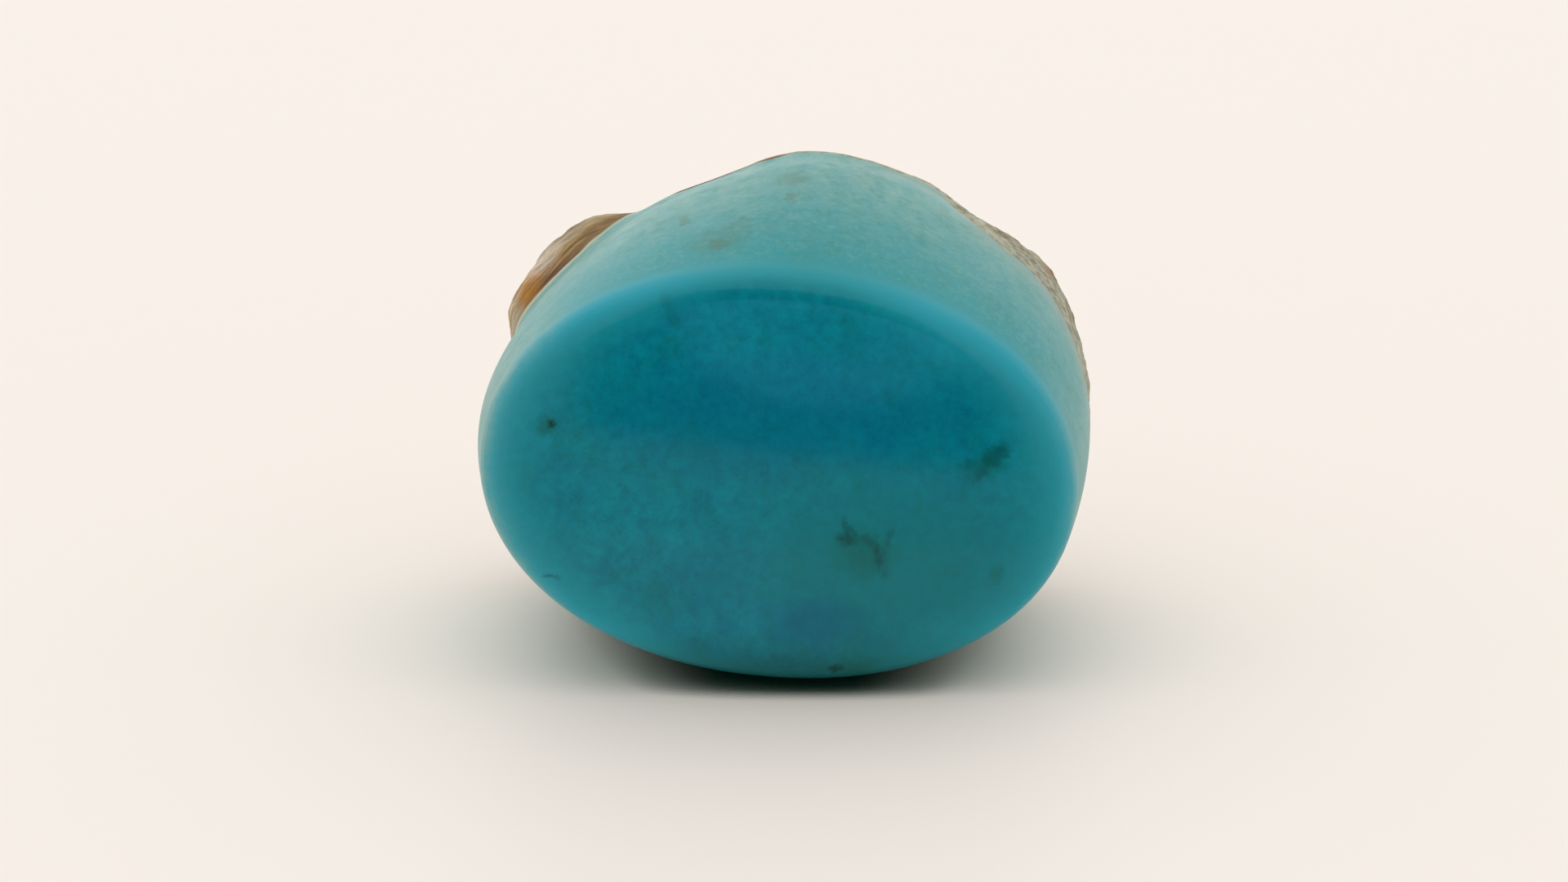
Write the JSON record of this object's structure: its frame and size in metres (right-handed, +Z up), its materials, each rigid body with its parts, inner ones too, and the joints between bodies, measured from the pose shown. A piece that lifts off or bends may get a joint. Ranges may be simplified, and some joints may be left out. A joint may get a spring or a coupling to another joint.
{
  "type": "raw turquoise nugget",
  "caption": "Turquoise nugget ground to a low polished oval dome in front, with plain ground walls and a knobbly brown rind behind, resting on a small flat.",
  "frame": {"origin": "on the table, under the middle of the stone's box", "axes": "+X along the stone's width, to the right as the polished dome is looked at; -Y is the side that the dome faces; +Z up"},
  "size_m": [0.0246, 0.0184, 0.0184],
  "materials": {
    "turquoise": "polished"
  },
  "bodies": {
    "root": {"turquoise_nugget": "turquoise"}
  },
  "joints": []
}
